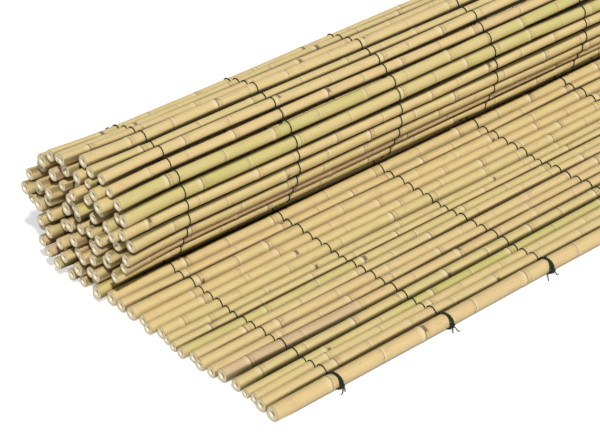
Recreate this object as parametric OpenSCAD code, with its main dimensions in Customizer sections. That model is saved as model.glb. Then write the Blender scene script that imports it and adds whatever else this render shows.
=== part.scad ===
// Bamboo cane screening, partly unrolled: hollow canes lie side by side, held
// together by rows of twine, each row twined from two strands.
//
// Frame: X runs along the canes, -Y towards the free edge of the flat stretch,
// +Y towards the roll, Z up. The mat lies on the plane z = 0.

/* [Mat] */
// Length that the canes are cut to, mm
cane_length = 1000; // [800:10:1200]
// Canes in the flat stretch
flat_count = 18; // [15:1:24]
// Canes wound up in the roll
roll_count = 78; // [66:6:78]
// How far the roll sits along the canes from the free edge, mm
skew = 4; // [0:1:12]

/* [Canes] */
// Thinnest cane, diameter, mm
cane_d_min = 9.6; // [9.2:0.1:10]
// Thickest cane, diameter, mm
cane_d_max = 15.2; // [14.6:0.1:15.8]
// Bore as a part of the diameter
bore_ratio = 0.52; // [0.4:0.02:0.6]
// Mean distance between two nodes, mm
node_pitch = 116; // [90:2:130]
// Height of a node's ring above the cane, mm
node_rise = 0.6; // [0.3:0.05:0.65]
// Unevenness of the cut ends in the flat stretch, mm
flat_ragged = 3.5; // [0:0.5:5]
// Unevenness of the cut ends in the roll, mm
roll_ragged = 8; // [0:0.5:10]

/* [Twine] */
// Rows of twine across the canes
row_count = 7; // [5:1:8]
// Distance between two rows, mm
row_pitch = 140; // [110:1:150]
// Distance from the cut ends to the first row, mm
row_margin = 72; // [60:1:80]
// Thickness of one strand, mm
twine_d = 1.3; // [1.2:0.1:1.6]
// Turns of the knot on the free cane
knot_turns = 2; // [1:1:2]
// Length of the loose ends at a knot, mm
loose_end = 10; // [8:1:20]

/* [Node] */
// Node to draw, or all of them

/* [Hidden] */
$fn = 32;
seed = 28;
// Air between a cane and the strand around it, and between two turns
fit = 0.15;
turn_gap = 0.1;
count = roll_count + flat_count;
// Sharpest bend that the mat takes, at the start of the roll, degrees
core_bend = 58;
// Two strands of a row lie this far to either side of the row's middle
strand_gap = 0.12;
strand_off = (twine_d + strand_gap) / 2;
// Width of a strand where it is pinched between two canes
pinch_d = 1.2 * twine_d;
// The straight part of a loose end reaches this far into its bend
lap = 0.3 * twine_d;
// Rows run straight across the mat, midway between the two ends of the skew
row_x = [for (i = [0:row_count - 1]) row_margin + i * row_pitch + skew / 2];
bamboo = [0.80, 0.68, 0.44];
twine_green = [0.10, 0.16, 0.11];

// Canes are numbered from the heart of the roll to the free edge. Two draws
// are averaged, so that middling canes are the common ones.
draw_a = rands(0, 1, count, seed);
draw_b = rands(0, 1, count, seed + 1);
radius = [for (k = [0:count - 1])
    (cane_d_min + (cane_d_max - cane_d_min) * (draw_a[k] + draw_b[k]) / 2) / 2];
// Radius of the line that a strand follows around each cane
wrap = [for (r = radius) r + fit + twine_d / 2];

// Winding, seen along the canes: s runs towards the free edge, z up.
function heading(p, q) = atan2(q[1] - p[1], q[0] - p[0]);
function wrapped(a) = (a + 90) - 360 * floor((a + 90) / 360) - 90;
// Turn at which cane k, chained to the last one, would touch an earlier cane
function touch(at, dir, reach, other, clear) =
    let (far = norm(other - at))
    far >= reach + clear ? 360 :
    let (c = (reach * reach + far * far - clear * clear) / (2 * reach * far))
    c >= 1 ? 360 : wrapped(heading(at, other) - dir) - acos(max(-1, c));
function step(placed, dir, k) =
    let (at = placed[k - 1],
         reach = wrap[k - 1] + wrap[k],
         turns = [for (j = [0:1:k - 3])
             touch(at, dir, reach, placed[j], wrap[j] + wrap[k] + twine_d + turn_gap)],
         turn = min(concat([core_bend], turns)))
    [at + reach * [cos(dir + turn), sin(dir + turn)], dir + turn];
function wind(placed, dir, k, last) =
    k > last ? [placed, dir] :
    let (next = step(placed, dir, k))
    wind(concat(placed, [next[0]]), next[1], k + 1, last);
wound = wind([[0, 0]], 0, 1, roll_count - 1);
// The roll is turned until its last cane runs out along the floor
run_out = -3;
level = run_out - wound[1];
roll_at = [for (p = wound[0])
    [p[0] * cos(level) - p[1] * sin(level), p[0] * sin(level) + p[1] * cos(level)]];
function under(k) = radius[k] + fit + twine_d;
floor_z = min([for (k = [0:roll_count - 1]) roll_at[k][1] - under(k)]);
function lay(placed, k) =
    k > count - 1 ? placed :
    let (at = placed[k - 1],
         reach = wrap[k - 1] + wrap[k],
         z = floor_z + under(k),
         dz = z - at[1])
    lay(concat(placed, [[at[0] + sqrt(reach * reach - dz * dz), z]]), k + 1);
at_rest = lay(roll_at, roll_count);
// The loose ends reach out past the free cane
s_front = at_rest[count - 1][0] + 2 * wrap[count - 1] + loose_end;
s_back = min([for (k = [0:count - 1]) at_rest[k][0] - under(k)]);
s_mid = (s_front + s_back) / 2;
centre = [for (p = at_rest) [p[0] - s_mid, p[1] - floor_z]];

// The skew grows over the canes next to the roll
function ease(t) = t <= 0 ? 0 : t >= 1 ? 1 : t * t * (3 - 2 * t);
shift = [for (k = [0:count - 1])
    skew * ease((count - 1 - k - flat_count * 0.3) / (flat_count * 0.9))];
ragged = rands(-1, 1, 2 * count, seed + 2);
function rag(k) = k < roll_count ? roll_ragged : flat_ragged;
cane_from = [for (k = [0:count - 1]) shift[k] + rag(k) * ragged[2 * k]];
cane_to = [for (k = [0:count - 1])
    shift[k] + cane_length + rag(k) * ragged[2 * k + 1]];
x_mid = (min(cane_from) + max(cane_to)) / 2;

// Nodes of a cane: uneven steps, kept clear of the rows of twine
function node_steps(k) =
    let (d = rands(0.78, 1.22, 20, seed + 10 + k),
         first = rands(0.2, 0.9, 1, seed + 200 + k)[0])
    node_walk(cane_from[k] + first * node_pitch, d, 0, cane_to[k]);
function node_walk(x, d, i, stop) =
    x > stop - 12 ? [] :
    concat([x], node_walk(x + node_pitch * d[i], d, i + 1, stop));
function near_row(x) =
    let (hit = [for (r = row_x) if (abs(x - r) < 9) r])
    len(hit) > 0 ? hit[0] : undef;
function cane_nodes(k) = [for (x = node_steps(k))
    let (r = near_row(x))
    is_undef(r) ? x : x < r ? r - 9 : r + 9];

// Canes of the roll are drawn in groups, from the outer turn inwards
turn_ends = [0, 6, 16, 29, 45, roll_count];

// One cane: a revolved outline with rings at its nodes and a bore at each
// cut end, as deep as the first node
module cane(k) {
    r = radius[k];
    n = cane_nodes(k);
    bore = r * bore_ratio;
    x0 = cane_from[k];
    x1 = cane_to[k];
    outline = concat(
        [[0, n[0]], [bore, n[0]], [bore, x0], [r, x0]],
        [for (x = n) for (p = [[0, -4], [1, -1], [0.8, 1], [0, 4]])
            [r + node_rise * p[0], x + p[1]]],
        [[r, x1], [bore, x1], [bore, n[len(n) - 1]], [0, n[len(n) - 1]]]);
    translate([-x_mid, -centre[k][0], centre[k][1]])
        rotate([0, 90, 0])
            rotate_extrude()
                polygon(outline);
}

module canes(from, to) {
    color(bamboo)
        for (k = [from:to]) cane(k);
}

// Point where the strands cross between cane k and cane k + 1
function crossing(k) =
    centre[k] + (centre[k + 1] - centre[k]) * wrap[k] / (wrap[k] + wrap[k + 1]);
function before(k) = k > 0 ? crossing(k - 1) : 2 * centre[0] - crossing(0);
function after(k) = k < count - 1 ? crossing(k) : centre[k] + [wrap[k], 0];

// Outline of a strand's half turn around cane k, on its inner or outer side,
// from one crossing to the next
module half_turn(k, inner) {
    a = before(k);
    b = after(k);
    bend = wrapped(heading(centre[k], b) - heading(a, centre[k]));
    sweep = inner ? 180 - bend : 180 + bend;
    rho = norm(b - a) / (2 * sin(sweep / 2));
    side = inner ? 1 : -1;
    translate((a + b) / 2)
        rotate(heading(a, b))
            translate([0, -side * rho * cos(sweep / 2)])
                rotate(side * 90 - sweep / 2)
                    intersection() {
                        difference() {
                            circle(r = rho + twine_d / 2);
                            circle(r = rho - twine_d / 2);
                        }
                        polygon(concat([[0, 0]],
                            [for (i = [0:3]) 3 * rho * [cos(i * sweep / 3), sin(i * sweep / 3)]]));
                    }
}

// Loose end of a strand: down from the free cane's front and out on the floor
module loose() {
    at = after(count - 1);
    bend = at[1] - twine_d / 2;
    translate(at) {
        circle(d = pinch_d);
        translate([bend, 0])
            intersection() {
                difference() {
                    circle(r = bend + twine_d / 2);
                    circle(r = bend - twine_d / 2);
                }
                translate([-2 * bend, -2 * bend]) square(2 * bend);
            }
        translate([bend - lap, -bend - twine_d / 2]) square([loose_end + lap, twine_d]);
    }
}

// One strand weaves over and under by turns, from cane a to cane b
module strand(x, first, a, b) {
    translate([x - x_mid, 0, 0])
        rotate([90, 0, -90])
            linear_extrude(twine_d, center = true) {
                for (k = [a:b]) half_turn(k, (k + first) % 2 == 0);
                for (k = [a:b - 1]) translate(crossing(k)) circle(d = pinch_d);
                if (b == count - 1) loose();
            }
}

// Extra turn of the knot around the free cane
module knot_turn(x) {
    last = count - 1;
    translate([x - x_mid, -centre[last][0], centre[last][1]])
        rotate([0, 90, 0])
            rotate_extrude()
                translate([wrap[last], 0])
                    circle(d = twine_d);
}

// Both strands of a row, from cane a to cane b
module strands(i, a, b) {
    strand(row_x[i] - strand_off, 0, a, b);
    strand(row_x[i] + strand_off, 1, a, b);
}

module twine_flat(i) {
    x = row_x[i];
    color(twine_green) {
        strands(i, roll_count, count - 1);
        for (side = [-1, 1], j = [1:knot_turns])
            knot_turn(x + side * (strand_off + j * (twine_d + turn_gap)));
    }
}

module twine_roll(i) {
    color(twine_green)
        strands(i, 0, roll_count - 1);
}

canes(roll_count, count - 1);  // flat_canes
for (t = [1:5])
    canes(turn_ends[5 - t], turn_ends[6 - t] - 1);
for (i = [1:row_count]) {
    twine_flat(i - 1);
    twine_roll(i - 1);
}
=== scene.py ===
import math

import bpy
import numpy as np
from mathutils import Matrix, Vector


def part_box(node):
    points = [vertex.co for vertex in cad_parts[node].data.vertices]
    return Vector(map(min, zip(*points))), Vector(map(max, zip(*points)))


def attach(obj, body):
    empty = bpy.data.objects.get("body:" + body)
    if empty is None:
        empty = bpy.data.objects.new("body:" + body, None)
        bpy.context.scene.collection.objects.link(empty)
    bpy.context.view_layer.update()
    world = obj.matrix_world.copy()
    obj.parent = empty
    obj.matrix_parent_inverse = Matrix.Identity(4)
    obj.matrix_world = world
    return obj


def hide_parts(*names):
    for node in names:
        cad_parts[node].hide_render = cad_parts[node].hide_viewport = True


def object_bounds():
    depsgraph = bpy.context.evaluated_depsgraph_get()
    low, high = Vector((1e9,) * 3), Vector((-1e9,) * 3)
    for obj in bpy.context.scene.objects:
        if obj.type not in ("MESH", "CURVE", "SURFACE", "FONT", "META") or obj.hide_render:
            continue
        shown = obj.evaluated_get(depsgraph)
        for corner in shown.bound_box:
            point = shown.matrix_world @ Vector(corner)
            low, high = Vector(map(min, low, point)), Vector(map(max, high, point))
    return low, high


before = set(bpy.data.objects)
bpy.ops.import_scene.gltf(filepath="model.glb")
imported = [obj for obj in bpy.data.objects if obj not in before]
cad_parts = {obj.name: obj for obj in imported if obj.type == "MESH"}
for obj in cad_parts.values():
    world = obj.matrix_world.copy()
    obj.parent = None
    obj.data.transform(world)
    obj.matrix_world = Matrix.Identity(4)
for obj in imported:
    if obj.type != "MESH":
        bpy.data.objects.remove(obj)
cad_low, cad_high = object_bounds()


# Camera
# A long lens looks down on the mat from in front of the roll's left end, across
# the flat stretch, so that the roll's cut ends and the free cane both show.
SENSOR = 36                                 # mm
PHOTO_WIDTH, FOCAL_LENGTH = 600, 2130.4     # both in the photo's pixels
TURN, DIP = math.radians(48.02), math.radians(32.4)
FROM_FIRST_KNOT = (-1.0518, -1.1229, 1.1524)      # m, of the camera
FREE_CANE_REACH = 0.0081                    # from the free cane's middle to its front
KNOT_LEAN = 0.002                           # the middle of a knot's box lies beside its row
free_cane_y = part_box("flat_canes")[0].y + FREE_CANE_REACH
first_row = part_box("twine_flat_1")
first_row_x = (first_row[0].x + first_row[1].x) / 2 - KNOT_LEAN
camera = bpy.data.cameras.new("camera")
camera.sensor_width = SENSOR
camera.lens = SENSOR * FOCAL_LENGTH / PHOTO_WIDTH
camera.clip_end = 20
camera_object = bpy.data.objects.new("camera", camera)
bpy.context.scene.collection.objects.link(camera_object)
looking = Vector((math.cos(TURN) * math.cos(DIP), math.sin(TURN) * math.cos(DIP), -math.sin(DIP)))
camera_object.location = (first_row_x + FROM_FIRST_KNOT[0], free_cane_y + FROM_FIRST_KNOT[1],
                          FROM_FIRST_KNOT[2])
camera_object.rotation_euler = looking.to_track_quat("-Z", "Y").to_euler()
bpy.context.scene.camera = camera_object


# Floor and light
# A plain pale floor that goes white where nothing shades it, a soft lamp high on
# the left for the daylight, and an even white sky for the shaded sides.
SKY_COLOUR, SKY_STRENGTH = (0.93, 0.96, 1.0, 1), 0.19
FLOOR_COLOUR, FLOOR_GLOW, FLOOR_HALF = (0.8, 0.8, 0.79, 1), 0.55, 6
PATCH_INSET, PATCH_SHIFT = (0.012, 0.03), 0.01      # of the floor under the mat
DAYLIGHT, DAYLIGHT_COLOUR = 3.05, (1.0, 0.985, 0.95)
DAYLIGHT_SPREAD, DAYLIGHT_WAY = math.radians(4), Vector((0.35, 0.55, -0.76))


def shade_node(tree, kind, inputs, **choices):
    """A node of a sky or a material, with its own choices, such as its operation. Each input is
    wired to another node's output or holds a constant."""
    node = tree.nodes.new(kind)
    for name, choice in choices.items():
        setattr(node, name, choice)
    for slot, value in inputs.items():
        if hasattr(value, "is_output"):
            tree.links.new(value, node.inputs[slot])
        else:
            node.inputs[slot].default_value = value
    return node


def blank_material(name):
    """A material with an empty node tree."""
    material = bpy.data.materials.new(name)
    material.use_nodes = True
    material.node_tree.nodes.clear()
    return material


bpy.context.scene.view_settings.view_transform = "Standard"
world = bpy.data.worlds.new("sky")
bpy.context.scene.world = world
world.use_nodes = True
tree = world.node_tree
tree.nodes.clear()
ray = shade_node(tree, "ShaderNodeLightPath", {})
seen = shade_node(tree, "ShaderNodeMath", {0: ray.outputs["Is Camera Ray"],
                                           1: ray.outputs["Is Glossy Ray"]}, operation="MAXIMUM")
seen = shade_node(tree, "ShaderNodeMath", {0: seen.outputs[0],
                                           1: ray.outputs["Is Transmission Ray"]},
                  operation="MAXIMUM")
sky = shade_node(tree, "ShaderNodeBackground", {"Color": SKY_COLOUR, "Strength": SKY_STRENGTH})
white = shade_node(tree, "ShaderNodeBackground", {"Color": (1, 1, 1, 1), "Strength": 1.0})
either = shade_node(tree, "ShaderNodeMixShader", {0: seen.outputs[0], 1: sky.outputs[0],
                                                  2: white.outputs[0]})
shade_node(tree, "ShaderNodeOutputWorld", {"Surface": either.outputs[0]})

# The floor's own glow stops at the mat, so that the gaps between canes stay dark
middle = (0, (cad_low[1] + cad_high[1]) / 2 - PATCH_SHIFT, 0)
half = (cad_high[0] - PATCH_INSET[0], (cad_high[1] - cad_low[1]) / 2 - PATCH_INSET[1], 1)
floor_paint = blank_material("floor_paint")
tree = floor_paint.node_tree
spot = shade_node(tree, "ShaderNodeNewGeometry", {})
spot = shade_node(tree, "ShaderNodeVectorMath", {0: spot.outputs["Position"], 1: middle},
                  operation="SUBTRACT")
spot = shade_node(tree, "ShaderNodeVectorMath", {0: spot.outputs[0], 1: half}, operation="DIVIDE")
spot = shade_node(tree, "ShaderNodeVectorMath", {0: spot.outputs[0]}, operation="ABSOLUTE")
axes = shade_node(tree, "ShaderNodeSeparateXYZ", {0: spot.outputs[0]})
outmost = shade_node(tree, "ShaderNodeMath", {0: axes.outputs[0], 1: axes.outputs[1]},
                     operation="MAXIMUM")
open_floor = shade_node(tree, "ShaderNodeMapRange", {"Value": outmost.outputs[0], "From Min": 0.96,
                                                     "From Max": 1.0, "To Max": FLOOR_GLOW})
matt = shade_node(tree, "ShaderNodeBsdfDiffuse", {"Color": FLOOR_COLOUR})
glow = shade_node(tree, "ShaderNodeEmission", {"Strength": open_floor.outputs["Result"]})
lifted = shade_node(tree, "ShaderNodeAddShader", {0: matt.outputs[0], 1: glow.outputs[0]})
ray = shade_node(tree, "ShaderNodeLightPath", {})
either = shade_node(tree, "ShaderNodeMixShader", {0: ray.outputs["Is Camera Ray"],
                                                  1: matt.outputs[0], 2: lifted.outputs[0]})
shade_node(tree, "ShaderNodeOutputMaterial", {"Surface": either.outputs[0]})
floor_mesh = bpy.data.meshes.new("floor")
floor_mesh.from_pydata([(FLOOR_HALF * x, FLOOR_HALF * y, 0)
                        for x, y in ((-1, -1), (1, -1), (1, 1), (-1, 1))], [], [(0, 1, 2, 3)])
floor_mesh.materials.append(floor_paint)
floor = bpy.data.objects.new("floor", floor_mesh)
bpy.context.scene.collection.objects.link(floor)

lamp = bpy.data.lights.new("daylight", "SUN")
lamp.energy = DAYLIGHT
lamp.angle = DAYLIGHT_SPREAD
lamp.color = DAYLIGHT_COLOUR
lamp_object = bpy.data.objects.new("daylight", lamp)
bpy.context.scene.collection.objects.link(lamp_object)
lamp_object.rotation_euler = DAYLIGHT_WAY.to_track_quat("-Z", "Y").to_euler()


# Canes
# Thin dry bamboo canes, sawn to length: hollow between their nodes, with a raised ring and a
# pale waxy band at each node, and a bud scar on nearly every other one. They are straw yellow,
# some greener or browner, aren't quite straight, and kink a little at their nodes.
SKIN_INSET = 0.0001                             # the skin lies just inside the CAD cane's
BORE, BORE_DEPTH = 0.38, 0.03                   # share of the cane's thickness, and open depth
BOW, KINK = 0.0009, 0.0006                      # sideways, between the nodes and at them
SPLAY, SPLAY_LENGTH = 0.0014, 0.07              # of the cut ends beyond the first row of twine
SPREAD_ACROSS, SPREAD_UP = 0.08, 0.015          # share by which the roll's cut ends spread
LONGEST_EXTRA = 0.010                           # of the roll's canes at their cut ends
FIRST_ROW_IN = 0.072                            # from the cut ends to the first row of twine
TAPER, OVAL = 0.06, 0.025                       # share per metre, and share of the radius
SWELL, SWELL_WIDTH = (0.0002, 0.0005), 0.0026   # around a node
RIDGE, RIDGE_WIDTH, RIDGE_PAST = 0.00022, 0.0008, 0.0035    # thin ring just past a node
GROOVE, BUDDED = 0.0009, 0.42                   # depth above a bud, and share of nodes with one
ROLL_MIDDLE_Z = 0.072                           # height of the roll's axis
DEEP_GAP_SHADE_SHARE = 0.28                              # of the flat canes with the deeper painted gap shade; the roll's all have it
DEEP_GAP_SHADE, SOFT_GAP_SHADE = (1.0, 0.72), (0.45, 0.76)        # darkness of the painted shade in the gaps, and where it starts
GRAIN_STEP = 1700.0                             # mm of the pattern from cane to cane
SNAP = 2e5                                      # CAD points closer than 1 / SNAP m are one
IN_SIGHT = {"step": 0.012, "sides": 16,
            "about_node": np.array([-9, -4, -2, -0.9, -0.2, 0.4, 1.0, 2.4, 5, 10]) / 1000}
INSIDE = {"step": 0.045, "sides": 12, "about_node": np.array([-4, -1, 0.4, 2, 5]) / 1000}
chance = np.random.default_rng(11)


def islands(mesh):
    """Points of each separate solid of a CAD mesh: every point takes the lowest label among its
    triangles, again and again, until no label changes."""
    xyz = np.empty(len(mesh.vertices) * 3)
    mesh.vertices.foreach_get("co", xyz)
    corner = np.empty(len(mesh.loops), dtype=np.int64)
    mesh.loops.foreach_get("vertex_index", corner)
    snapped = np.round(xyz.reshape(-1, 3) * SNAP).astype(np.int64)
    spots, same = np.unique(snapped, axis=0, return_inverse=True)
    triangles = same.reshape(-1)[corner].reshape(-1, 3)
    label, before = np.arange(len(spots)), None
    while before is None or (label != before).any():
        before = label
        label = before.copy()
        np.minimum.at(label, triangles.reshape(-1), np.repeat(before[triangles].min(axis=1), 3))
        label = label[label]
    return [spots[label == island] / SNAP for island in np.unique(label)]


def read_canes(node):
    """Axis (s, z), radius, ends and node rings of each cane in a CAD node. The axis is the middle
    of the cane's box, and the radius is the smallest distance from the axis among the points of
    its outer wall; the points furthest out are its rings."""
    canes = []
    for own in islands(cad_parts[node].data):
        mid = (own.min(axis=0) + own.max(axis=0)) / 2
        off = np.hypot(own[:, 1] - mid[1], own[:, 2] - mid[2])
        outer_wall = off[off > 0.75 * off.max()]
        rings = np.unique(np.round(own[off > off.max() - 5e-5, 0], 4))
        canes.append({"node": node, "s": -mid[1], "z": mid[2], "r": outer_wall.min(),
                      "rings": rings, "from": own[:, 0].min(), "to": own[:, 0].max()})
    return canes


def gap_between(a, b):
    """Distance between the walls of two canes."""
    return math.hypot(a["s"] - b["s"], a["z"] - b["z"]) - a["r"] - b["r"]


# In the mat's order, from the free cane to the heart of the roll: the next cane
# is always the nearest of those that are left
cane_nodes = ["flat_canes"] + [f"roll_canes_{turn}" for turn in range(1, 6)]
left = [cane for node in cane_nodes for cane in read_canes(node)]
chain = [max(left, key=lambda cane: cane["s"])]
while True:
    left = [cane for cane in left if cane is not chain[-1]]
    if not left:
        break
    chain.append(min(left, key=lambda cane: gap_between(cane, chain[-1])))


def linear(value, start, end):
    """0 up to start, 1 from end on, and straight in between."""
    return np.clip((value - start) / (end - start), 0, 1)


def wobble(cane, x):
    """Sideways offset (s, z) of a cane's middle at x: a slow sine bow plus straight runs between
    random small offsets at the nodes, plus a splay that grows towards the cut end."""
    bow = cane["bow"] * np.sin(cane["wave"] * x[:, None] + cane["phase"])
    kinks = np.stack([np.interp(x, cane["rings"], cane["kinks"][:, a]) for a in (0, 1)], axis=1)
    first_row_at = cane["from"] + FIRST_ROW_IN
    splay = linear(-x, -first_row_at, SPLAY_LENGTH - first_row_at)[:, None] ** 1.5 * cane["splay"]
    return bow + kinks + splay


def thickness(cane, x):
    """Radius of a cane at x: a slight taper, a soft swelling around each node and a thin ridge
    past it, each a bell curve of the distance from the node."""
    d = x[:, None] - cane["rings"][None, :]
    swell = (cane["swell"] * np.exp(-(d / SWELL_WIDTH) ** 2)).sum(axis=1)
    ridge = (RIDGE * np.exp(-((d - RIDGE_PAST) / RIDGE_WIDTH) ** 2)).sum(axis=1)
    taper = 1 + cane["taper"] * (x - (cane["from"] + cane["to"]) / 2)
    return (cane["r"] - SKIN_INSET) * taper + swell + ridge


roll_s = np.mean([cane["s"] for cane in chain if cane["node"] == "roll_canes_1"])
for place, cane in enumerate(chain):
    flat = cane["node"] == "flat_canes"
    nodes = len(cane["rings"])
    cane["place"] = place
    cane["bow"] = BOW * chance.uniform(0.2, 1, 2)
    cane["wave"] = chance.uniform(7, 15, 2)
    cane["phase"] = chance.uniform(0, 6.3, 2)
    cane["kinks"] = KINK * chance.uniform(-1, 1, (nodes, 2))
    cane["splay"] = SPLAY * chance.uniform(-1, 1, 2)
    if not flat:
        cane["splay"] += [SPREAD_ACROSS * (cane["s"] - roll_s), SPREAD_UP * cane["z"]]
        cane["from"] -= chance.uniform(0, LONGEST_EXTRA)
    cane["swell"] = chance.uniform(*SWELL, nodes)
    cane["taper"] = chance.uniform(-TAPER, TAPER)
    cane["tone"] = chance.uniform(0, 1)
    cane["inner_tone"] = chance.uniform(-0.05, 0.05, nodes + 1)
    cane["marks"] = chance.uniform(0.25, 1, nodes)
    cane["bud"] = chance.uniform(0, 6.3)
    cane["buds"] = (chance.uniform(0, 1, nodes) < BUDDED).astype(float)
    # Painted shade in the gaps between canes: the deeper kind on every cane of the roll and on
    # some flat ones, a softer kind on the rest
    cane["grime"], cane["grime_from"] = (DEEP_GAP_SHADE if not flat or chance.uniform() < DEEP_GAP_SHADE_SHARE
                                         else SOFT_GAP_SHADE)
    # Directions (from s towards z) to what this cane lies against: its neighbours
    # in the mat, and the floor or the turn inside its own
    inward = (0.0, -1.0) if flat else (roll_s - cane["s"], ROLL_MIDDLE_Z - cane["z"])
    cane["inward"] = math.atan2(inward[1], inward[0])
    cane["beside"] = [math.atan2(other["z"] - cane["z"], other["s"] - cane["s"])
                      for other in chain[max(place - 1, 0):place + 2] if other is not cane]


def cane_stations(cane, fineness):
    """Stations along a cane's wall: even steps, with close ones around each node."""
    start, end = cane["from"], cane["to"]
    steps = np.arange(start + 0.004, end - 0.004, fineness["step"])
    close = (cane["rings"][:, None] + fineness["about_node"][None, :]).reshape(-1)
    both = np.unique(np.round(np.concatenate([steps, close]), 5))
    both = both[(both > start + 0.002) & (both < end - 0.002)]
    both = both[np.concatenate([[True], np.diff(both) > 0.0003])]
    return np.concatenate([[start + 0.001], both, [end - 0.001]])


def sawn_end(rim, bore):
    """Profile of a sawn end, from the diaphragm out through the bore and over the rim: distance
    in from the cut, radius, and the shares of sawn wood, of painted shade deeper in the bore and
    of the edge."""
    return np.array([[BORE_DEPTH, bore / 2, 1, 1, 0],
                     [BORE_DEPTH, bore, 1, 1, 0],
                     [0.0007, bore, 1, 0.15, 0],
                     [0, bore + 0.0003, 1, 0, 0],
                     [0, rim - 0.0005, 1, 0, 0.4],
                     [0.0003, rim - 0.0001, 0, 0, 1]])


def cane_profile(cane, fineness):
    """Whole profile of a cane: one sawn end, the outer wall and the other sawn end, in the five
    columns of sawn_end, the first of them turned into x."""
    bore = (cane["r"] - SKIN_INSET) * BORE
    start, end = (sawn_end(rim, bore)
                  for rim in thickness(cane, np.array([cane["from"], cane["to"]])))
    start[:, 0] = cane["from"] + start[:, 0]
    end[:, 0] = cane["to"] - end[:, 0]
    x = cane_stations(cane, fineness)
    plain = np.zeros(len(x))
    wall = np.stack([x, thickness(cane, x), plain, plain, plain], axis=1)
    return np.concatenate([start, wall, end[::-1]]).T


def crevice_shade(cane, x, v):
    """How much painted shade the skin gets at (x, v), standing in for the shade between canes and
    towards the inside of the roll or the floor: rising straight with the cosine of the angle to
    the neighbours and to the inside of the roll or the floor, and fading out at the cut ends."""
    towards_others = np.max([np.cos(v - way) for way in cane["beside"]], axis=0)
    crevice = cane["grime"] * linear(towards_others, cane["grime_from"], cane["grime_from"] + 0.24)
    inside = linear(np.cos(v - cane["inward"]), 0.60, 0.95)
    buried = linear(x - cane["from"], -0.01, 0.04) * linear(cane["to"] - x, -0.01, 0.04)
    return np.maximum(crevice * (0.5 + 0.5 * buried[:, None]), inside * buried[:, None])


def cane_surface(cane, fineness):
    """Closed surface P(u, v) = axis(u) + radius(u, v) (cos v, sin v), with u along the profile;
    the bud's groove lowers the radius on one side above a node. With it comes what is painted on
    its points, distances in mm."""
    x, rho, sawn, deep, edge = cane_profile(cane, fineness)
    v = np.linspace(0, 2 * np.pi, fineness["sides"], endpoint=False)
    from_nodes = (x[:, None] - cane["rings"][None, :]) * 1000
    nearest = np.abs(from_nodes).argmin(axis=1)
    past_node = from_nodes[np.arange(len(x)), nearest]
    # The bud changes side from one node to the next
    bud_at = cane["bud"] + np.pi * nearest
    facing_bud = np.cos(v[None, :] - bud_at[:, None]) * cane["buds"][nearest][:, None]
    fade = linear(past_node, 1, 3) * linear(-past_node, -42, -12) * (sawn == 0)
    groove = GROOVE * linear(facing_bud, 0.72, 1) ** 1.5 * fade[:, None]
    radius = rho[:, None] * (1 + OVAL * np.cos(2 * (v - cane["bud"]))) - groove
    mid = np.array([cane["s"], cane["z"]]) + wobble(cane, x)
    mid[:, 1] = np.maximum(mid[:, 1], cane["r"] + 0.001)        # on the floor, not in it
    across, up = radius * np.cos(v), radius * np.sin(v)

    def around(column):
        """The same value all the way around the cane at each station."""
        return np.repeat(column[:, None], len(v), axis=1)

    grid = np.stack([around(x), -(mid[:, 0:1] + across), mid[:, 1:2] + up], axis=2)
    grain = np.stack([around(x * 1000 + GRAIN_STEP * cane["place"]), across * 1000, up * 1000],
                     axis=2)
    tone = cane["tone"] + cane["inner_tone"][np.searchsorted(cane["rings"], x)]
    # Painted shade between the canes and towards the roll's inside or the floor; none on the sawn
    # ends
    shade = crevice_shade(cane, x, v) * (sawn == 0)[:, None]
    paint = {"above": around(np.clip(past_node, 0, 12)), "tone": around(tone), "grain": grain,
             "below": around(np.clip(-past_node, 0, 12)), "mark": around(cane["marks"][nearest]),
             "bud": facing_bud, "shade": shade, "edge": around(edge), "cut": around(sawn),
             "deep": around(deep)}
    return grid, paint


def closed_grids(name, surfaces, material):
    """One piece of several closed tubes, each a grid and its paint: quads between neighbouring
    rings of each grid, and a fan from each end ring to a point in its middle."""
    points, quads, fans, start = [], [], [], 0
    values = {key: [] for key in surfaces[0][1]}
    for grid, paint in surfaces:
        rings, sides = grid.shape[:2]
        count = rings * sides
        points += [grid.reshape(-1, 3), grid[0].mean(axis=0)[None], grid[-1].mean(axis=0)[None]]
        one = np.arange(sides)
        two = (one + 1) % sides
        base = np.arange(rings - 1)[:, None] * sides
        a, b = (base + one).reshape(-1), (base + two).reshape(-1)
        last = count - sides
        quads.append(start + np.stack([a, a + sides, b + sides, b], axis=1))
        fans.append(start + np.stack([one, two, np.full(sides, count)], axis=1))
        fans.append(start + np.stack([last + two, last + one, np.full(sides, count + 1)], axis=1))
        for key, found in values.items():
            flat = paint[key].reshape(count, -1)
            found += [flat, flat[:sides].mean(axis=0)[None], flat[-sides:].mean(axis=0)[None]]
        start += count + 2
    mesh = bpy.data.meshes.new(name)
    mesh.from_pydata(np.concatenate(points).tolist(), [],
                     np.concatenate(quads).tolist() + np.concatenate(fans).tolist())
    for key, found in values.items():
        flat = np.concatenate(found)
        kind, field = ("FLOAT_VECTOR", "vector") if flat.shape[1] == 3 else ("FLOAT", "value")
        mesh.attributes.new(key, kind, "POINT").data.foreach_set(field, flat.reshape(-1))
    mesh.polygons.foreach_set("use_smooth", np.ones(len(mesh.polygons), dtype=bool))
    mesh.materials.append(material)
    mesh.update()
    piece = bpy.data.objects.new(name, mesh)
    bpy.context.scene.collection.objects.link(piece)
    return piece


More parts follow.
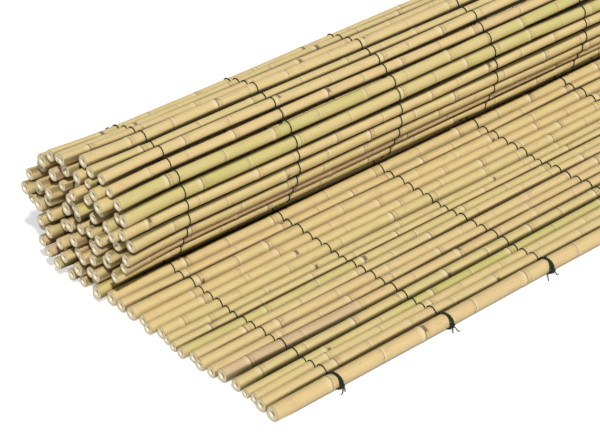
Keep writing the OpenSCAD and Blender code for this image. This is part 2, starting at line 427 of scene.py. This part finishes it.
# The canes' skin: fine fibres along it, a brown line and a waxy band at the nodes, painted shade
# past each node's ridge, in the crevices and deep in the bores, and pale sawn ends. tree is the
# material being made.
bamboo = blank_material("dry_bamboo")
tree = bamboo.node_tree
STRAW_TONES = [(0.0, (0.57, 0.53, 0.17)), (0.03, (0.62, 0.55, 0.21)), (0.08, (0.69, 0.57, 0.26)),
               (0.40, (0.73, 0.58, 0.28)), (0.75, (0.75, 0.58, 0.29)), (0.92, (0.74, 0.55, 0.27)),
               (0.97, (0.70, 0.51, 0.30)), (1.0, (0.64, 0.46, 0.28))]


def painted(name):
    """A value painted on the points of a piece."""
    node = shade_node(tree, "ShaderNodeAttribute", {}, attribute_name=name)
    return node.outputs["Vector" if name == "grain" else "Fac"]


def calc(operation, a, b=0.0):
    """Sum, product or the like of two values."""
    return shade_node(tree, "ShaderNodeMath", {0: a, 1: b}, operation=operation).outputs[0]


def times(first, *others):
    """Product of all the values."""
    for other in others:
        first = calc("MULTIPLY", first, other)
    return first


def span(value, low, high, start=0.0, end=1.0):
    """Smooth step: start below low, end above high."""
    return shade_node(tree, "ShaderNodeMapRange",
                      {"Value": value, "From Min": low, "From Max": high, "To Min": start,
                       "To Max": end}, interpolation_type="SMOOTHSTEP").outputs["Result"]


def blend(amount, a, b):
    """Colour a where amount is 0 and colour b where it is 1."""
    a, b = (colour if hasattr(colour, "is_output") else (*colour, 1) for colour in (a, b))
    return shade_node(tree, "ShaderNodeMix", {"Factor": amount, 6: a, 7: b},
                      data_type="RGBA").outputs[2]


def grained(stretch, detail=3.0, rough=0.55):
    """Noise on the cane's own coordinates in millimetres, drawn out along it."""
    place = shade_node(tree, "ShaderNodeMapping", {"Vector": painted("grain"), "Scale": stretch})
    return shade_node(tree, "ShaderNodeTexNoise",
                      {"Vector": place.outputs[0], "Scale": 1.0, "Detail": detail,
                       "Roughness": rough}).outputs["Fac"]


def around_middle(noise, size):
    """The noise less its mean, times size."""
    return times(calc("SUBTRACT", noise, 0.5), size)


drift = around_middle(grained((0.010, 0.05, 0.05), 2.0), 0.18)
straw = shade_node(tree, "ShaderNodeValToRGB", {0: calc("ADD", painted("tone"), drift)})
for at, colour in STRAW_TONES[1:-1]:
    straw.color_ramp.elements.new(at).color = (*colour, 1)
for end in (0, -1):
    straw.color_ramp.elements[end].color = (*STRAW_TONES[end][1], 1)

# Distances from the nearest node are in mm: below zero before it, above zero past it
above, mark = painted("above"), painted("mark")
off_node = calc("SUBTRACT", above, painted("below"))
ragged = calc("ADD", off_node, around_middle(grained((0.1, 0.7, 0.7)), 1.6))
waxy = times(span(ragged, -6.5, -3.0), span(ragged, -1.2, -0.4, 1.0, 0.0))
stain = times(span(ragged, -0.2, 0.5), span(ragged, 2.5, 9.0, 1.0, 0.0),
              span(grained((0.12, 0.5, 0.5)), 0.40, 0.66, 0.0, 0.7))
line = times(span(off_node, -0.8, -0.3), span(off_node, 0.3, 1.0, 1.0, 0.0))
# Painted shade of the thin ridge just past each node: a fainter brown line about 4 to 5 mm past it
ridge_shade_line = times(span(off_node, 3.6, 4.2), span(off_node, 4.5, 5.6, 1.0, 0.0))
scar = times(span(painted("bud"), 0.80, 0.93), span(above, 0.3, 1.2),
             span(above, 3.2, 5.2, 1.0, 0.0))
fibres = grained((0.035, 1.3, 1.3), 4.0, 0.65)
mottling = grained((0.05, 0.22, 0.22))
specks = grained((0.55, 1.1, 1.1), 2.0, 0.5)
# Painted shade: dark brown in the crevices and towards the inside of the roll and the floor, where
# little light reaches; the gloss is turned down there too
grime = span(painted("shade"), 0.0, 1.0, 0.0, 0.93)
sawn_wood = blend(span(grained((1.0, 2.6, 2.6), 1.0), 0.45, 0.65, 0.0, 0.3),
                  (0.89, 0.79, 0.57), (0.62, 0.49, 0.30))
# Painted shade: the sawn wood darkens deeper down the bore
sawn_wood = blend(painted("deep"), sawn_wood, (0.80, 0.69, 0.47))
skin = straw.outputs[0]
for amount, colour in (
        (span(fibres, 0.35, 0.70, 0.0, 0.36), (0.58, 0.44, 0.18)),
        (span(mottling, 0.54, 0.72, 0.0, 0.42), (0.56, 0.38, 0.21)),
        (span(specks, 0.69, 0.76, 0.0, 0.75), (0.20, 0.13, 0.07)),
        (times(waxy, mark, 0.55), (0.82, 0.72, 0.47)),
        (times(stain, mark), (0.46, 0.29, 0.17)),
        # painted shade of the ridge past the node
        (times(ridge_shade_line, mark, 0.35), (0.34, 0.22, 0.11)),
        (times(line, mark, 0.95), (0.16, 0.10, 0.06)),
        (times(scar, 0.85), (0.12, 0.065, 0.05)),
        (painted("cut"), sawn_wood),
        (times(painted("edge"), 0.85), (0.30, 0.20, 0.09)),
        # painted shade in the crevices and towards the roll's inside
        (grime, (0.045, 0.028, 0.004))):
    skin = blend(amount, skin, colour)

relief = calc("ADD", times(fibres, 0.6), times(line, -0.6))
bumps = shade_node(tree, "ShaderNodeBump", {"Height": relief, "Strength": 0.35,
                                            "Distance": 0.0003})
dullness = calc("ADD", fibres, times(painted("cut"), 0.5))
# Less gloss where the shade is painted in the crevices
shader = shade_node(tree, "ShaderNodeBsdfPrincipled", {
    "Base Color": skin, "Roughness": span(dullness, 0.3, 0.9, 0.42, 0.72),
    "Specular IOR Level": span(grime, 0.0, 0.8, 0.35, 0.03), "Normal": bumps.outputs[0]})
shade_node(tree, "ShaderNodeOutputMaterial", {"Surface": shader.outputs[0]})

for node in cane_nodes:
    fineness = IN_SIGHT if node in ("flat_canes", "roll_canes_1") else INSIDE
    made = [cane_surface(cane, fineness) for cane in chain if cane["node"] == node]
    piece = closed_grids("bamboo_" + node, made, bamboo)
    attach(piece, "root")
    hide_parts(node)


# Twine
# Dark green two-ply twine. Each row is two strands that change places between the
# canes: one runs over a cane while the other runs under it. A row follows the canes
# where the roll has slid along them, and is knotted around the free cane.
TWINE = 0.0013                              # thickness
ROWS, ROW_PITCH = 7, 0.14
SLID, SLID_FROM, SLID_OVER = 0.004, 5.7, 17.1       # along the canes, and counted in canes
CROSSING = 0.54                             # how far a strand swings from its row, in twines
FLATTENED = 0.3                             # of a twine, where a knot's turns press on the cane
KNOT_TURNS, TREFOIL = 3, 0.00072
LOOSE_END, LONGER_END, SHORT_ROWS = (0.006, 0.013), 1.7, 3
IN_FRONT = 0.003                            # how far a loose end may hang before the mat
X_LEANING = np.array([1.0, 0.13, 0.09])     # a way that no strand runs in
twine_green = blank_material("green_twine")
tree = twine_green.node_tree
ply = calc("SINE", calc("ADD", times(painted("along"), 3.2), times(painted("around"), 2.0)))
place = shade_node(tree, "ShaderNodeTexCoord", {})
fluff = shade_node(tree, "ShaderNodeTexNoise", {"Vector": place.outputs["Object"], "Scale": 2600})
yarn = blend(span(ply, -1.0, 0.4), (0.006, 0.010, 0.005), (0.022, 0.034, 0.018))
yarn = blend(span(fluff.outputs["Fac"], 0.5, 0.75, 0.0, 0.5), yarn, (0.045, 0.062, 0.036))
bumps = shade_node(tree, "ShaderNodeBump", {"Height": ply, "Strength": 0.7, "Distance": 0.0003})
shader = shade_node(tree, "ShaderNodeBsdfPrincipled", {
    "Base Color": yarn, "Roughness": 0.8, "Specular IOR Level": 0.25, "Normal": bumps.outputs[0]})
shade_node(tree, "ShaderNodeOutputMaterial", {"Surface": shader.outputs[0]})


def slid(place):
    """How far along X a cane has slid with the roll: a smooth step over the cane's place."""
    t = linear(place, SLID_FROM, SLID_FROM + SLID_OVER)
    return SLID * t * t * (3 - 2 * t)


def tube(points, width, sides=6):
    """Tube P(u, v) = path(u) + width/2 (cos v e1 + sin v e2), where e1 and e2 are square to the
    path and e1 leans to the X axis."""
    along = np.gradient(points, axis=0)
    along /= np.linalg.norm(along, axis=1, keepdims=True)
    e1 = X_LEANING - (along @ X_LEANING)[:, None] * along
    e1 /= np.linalg.norm(e1, axis=1, keepdims=True)
    e2 = np.cross(along, e1)
    v = np.linspace(0, 2 * np.pi, sides, endpoint=False)
    ring = np.cos(v)[None, :, None] * e1[:, None, :] + np.sin(v)[None, :, None] * e2[:, None, :]
    half = np.broadcast_to(np.asarray(width) / 2, (len(points),))[:, None, None]
    length = np.concatenate([[0], np.cumsum(np.linalg.norm(np.diff(points, axis=0), axis=1))])
    paint = {"along": np.repeat(length[:, None] * 1000, sides, axis=1),
             "around": np.repeat(v[None, :], len(points), axis=0)}
    return points[:, None, :] + half * ring, paint


def strand_path(row, first):
    """Path of a strand: half turns about each cane's middle at the row, on the outer and inner
    side by turns, joined where the lines between neighbouring middles cross the gap. With it come
    the free cane's middle, the strand's radius around it and the row's x there."""
    place = np.arange(len(chain))
    x = first_row_x + row * ROW_PITCH + slid(place)
    mid = np.array([np.array([c["s"], c["z"]]) + wobble(c, np.array([a]))[0]
                    for c, a in zip(chain, x)])
    wrap = np.array([thickness(c, np.array([a]))[0] for c, a in zip(chain, x)]) + TWINE / 2
    share = (wrap[:-1] / (wrap[:-1] + wrap[1:]))[:, None]
    cross = mid[:-1] + (mid[1:] - mid[:-1]) * share
    front = mid[:1] + [[wrap[0], 0]]
    back = 2 * mid[-1:] - cross[-1:]
    start, end = np.concatenate([front, cross]), np.concatenate([cross, back])
    a = np.arctan2(*(start - mid).T[::-1])
    b = np.arctan2(*(end - mid).T[::-1])
    over = (place + first) % 2 == 0
    sweep = np.where(over, (b - a) % (2 * np.pi), -((a - b) % (2 * np.pi)))
    t = np.linspace(0, 1, 9)[:-1]           # eight points to a half turn
    angle = a[:, None] + sweep[:, None] * t
    ra, rb = np.linalg.norm(start - mid, axis=1), np.linalg.norm(end - mid, axis=1)
    bulge = np.sin(np.pi * t)
    radius = (ra[:, None] * (1 - t) + rb[:, None] * t) * (1 - bulge) + wrap[:, None] * bulge
    swing = np.where(over, 1, -1)[:, None] * (2 * t - 1) * TWINE * CROSSING
    step = np.concatenate([x[:1], (x[:-1] + x[1:]) / 2, x[-1:]])
    px = step[:-1, None] * (1 - t) + step[1:, None] * t + swing
    ps = mid[:, 0:1] + radius * np.cos(angle)
    pz = np.maximum(mid[:, 1:2] + radius * np.sin(angle), TWINE / 2 + 1e-4)
    return np.stack([px, -ps, pz], axis=2).reshape(-1, 3), mid[0], wrap[0], x[0]


def knot_paths(row, mid, wrap, x):
    """The knot on the free cane: slanting turns close together, a trefoil where they are tied
    low on the cane's front, and two short loose ends that fall from it to the floor."""
    draw = np.random.default_rng(40 + row)
    radius = wrap + TWINE * FLATTENED

    def about(angle, px, out):
        """The point at this angle and distance from the free cane's middle."""
        return np.stack([px, -(mid[0] + out * np.cos(angle)), mid[1] + out * np.sin(angle)],
                        axis=-1)

    low = draw.uniform(-0.75, -0.2)         # angle of the tie below the cane's middle
    lean = draw.uniform(0.0012, 0.0026)     # of the turns along the cane
    paths = []
    for turn in range(KNOT_TURNS):
        angle = np.linspace(low, low + 2 * np.pi, 30)
        px = x + lean * np.cos(angle - low) + (turn - 1) * TWINE * draw.uniform(0.55, 0.9)
        paths.append(about(angle, px, radius + TWINE * (0.1 + 0.35 * (turn == 1))))
    t = np.linspace(0, 2 * np.pi, 60)
    trefoil = np.stack([np.sin(t) + 2 * np.sin(2 * t), np.cos(t) - 2 * np.cos(2 * t),
                        -np.sin(3 * t)], axis=1)
    out = np.array([0, -math.cos(low), math.sin(low)])
    seat = about(low, x + lean, wrap + TWINE)
    lay = np.stack([np.array([1, 0, 0]), np.cross(out, [1, 0, 0]), out])
    paths.append(seat + TREFOIL * trefoil @ lay)
    for side in (-1, 1):
        reach = draw.uniform(*LOOSE_END) * (1 if row < SHORT_ROWS else LONGER_END)
        u = np.linspace(0, 1, 14)[:, None]
        if side < 0 and row % 3 == 2:
            # This end runs back over the cane before it hangs down in front
            angle = np.linspace(1.9, -0.5, 16)
            over = about(angle, x + np.linspace(0.001, -0.006, 16), radius + TWINE * 0.6)
            fall = over[-1] + reach * np.array([-0.25, -0.35, -0.9]) * u[1:] ** [1, 0.7, 1.4]
            paths.append(np.concatenate([over, fall]))
            continue
        drop = np.array([side * draw.uniform(0.1, 0.6), -draw.uniform(0.15, 0.45), -0.85])
        curl = np.array([draw.uniform(-0.3, 0.3), 0, 0.1])
        paths.append(seat + reach * (drop * u ** [1, 0.7, 1.3] + curl * np.sin(4 * u)))
    for path in paths:
        path[:, 2] = np.maximum(path[:, 2], TWINE / 2)
        path[:, 1] = np.maximum(path[:, 1], cad_low[1] - IN_FRONT)
    return paths


for row in range(ROWS):
    tubes = []
    for first in (0, 1):
        route, mid, wrap, x = strand_path(row, first)
        tubes.append(tube(route, TWINE))
    for path in knot_paths(row, mid, wrap, x):
        tubes.append(tube(path, TWINE * np.linspace(1.0, 0.85, len(path))))
    piece = closed_grids(f"twine_{row + 1}", tubes, twine_green)
    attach(piece, "root")
    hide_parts(f"twine_flat_{row + 1}", f"twine_roll_{row + 1}")
